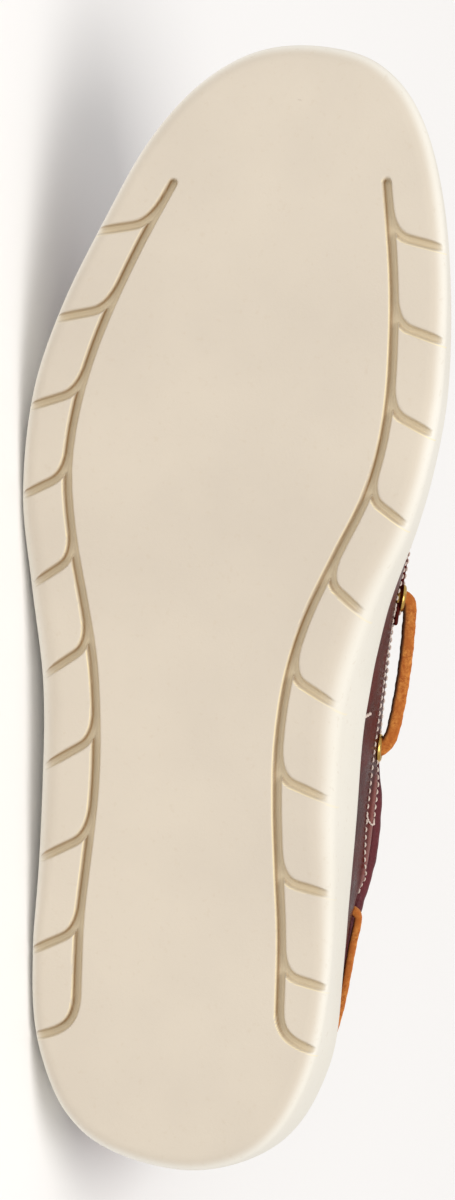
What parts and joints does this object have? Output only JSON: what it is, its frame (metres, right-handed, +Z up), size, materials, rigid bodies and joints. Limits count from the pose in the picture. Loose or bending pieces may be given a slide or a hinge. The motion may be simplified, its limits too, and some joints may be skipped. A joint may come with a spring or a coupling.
{
  "type": "boat shoe",
  "caption": "Right low leather boat shoe with a grooved cream cup sole, padded collar, side thongs and front lacing, lying empty on its outer side.",
  "frame": {"origin": "middle of the bottom face of the bounding box, on the floor that the shoe lies on", "axes": "-X from the heel towards the toe, -Y out of the tread, +Z up from the floor towards the inner side of the foot"},
  "size_m": [0.2978, 0.1014, 0.1173],
  "materials": {
    "cream_rubber": "matt moulded",
    "upper_leather": "waxed, semi-gloss",
    "collar_leather": "soft, satin",
    "footbed_leather": "smooth vegetable tanned",
    "thong_leather": "rough, matt rawhide",
    "eyelet_brass": "polished, rolled"
  },
  "bodies": {
    "root": {"outsole": "cream_rubber", "insole": "footbed_leather", "upper": "upper_leather", "tongue": "upper_leather", "collar_pad": "collar_leather", "backstay": "upper_leather", "eyestay_medial": "upper_leather", "eyestay_lateral": "upper_leather", "lace_front": "thong_leather", "lace_side_medial": "thong_leather", "lace_side_lateral": "thong_leather", "lace_heel_medial": "thong_leather", "lace_heel_lateral": "thong_leather", "eyelet_side_front_medial": "eyelet_brass", "eyelet_side_rear_medial": "eyelet_brass", "eyelet_side_front_lateral": "eyelet_brass", "eyelet_side_rear_lateral": "eyelet_brass", "eyelet_top_medial": "eyelet_brass", "eyelet_low_medial": "eyelet_brass", "eyelet_top_lateral": "eyelet_brass", "eyelet_low_lateral": "eyelet_brass"}
  },
  "joints": []
}
